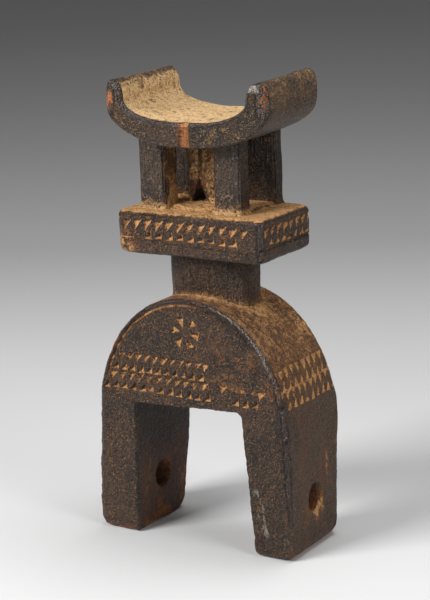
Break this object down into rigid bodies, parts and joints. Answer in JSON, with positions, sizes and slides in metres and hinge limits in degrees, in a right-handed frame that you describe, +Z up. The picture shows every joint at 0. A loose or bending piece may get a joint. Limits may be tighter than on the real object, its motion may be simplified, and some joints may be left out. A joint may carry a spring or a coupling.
{
  "type": "headrest-topped heddle pulley",
  "caption": "Carved wooden yoke: a round arch on bored legs under an oval neck, a slab platform and a small stool seat on posts, worn dark with chip-carved bands.",
  "frame": {"origin": "under the middle of the bounding box, at the height of the soles", "axes": "+Z up through the arch, the neck and the seat; -Y out of the carved front face; +X to the right of a viewer at the front"},
  "size_m": [0.0894, 0.0546, 0.1812],
  "materials": {
    "crusted_wood": "hand-carved hardwood under a dark encrusted patina, satin on the worn edges",
    "handled_wood": "hand-carved hardwood, dark brown, smoothed and slightly glossy from handling",
    "dusted_wood": "dark hardwood with a matt ochre dust in its grain, glossy worn rim"
  },
  "bodies": {
    "root": {"left_leg": "crusted_wood", "right_leg": "crusted_wood", "arch": "crusted_wood", "neck": "handled_wood", "platform": "crusted_wood", "post_front_left": "handled_wood", "post_front_right": "handled_wood", "post_back_left": "handled_wood", "post_back_right": "handled_wood", "centre_column": "handled_wood", "seat": "dusted_wood"}
  },
  "joints": []
}
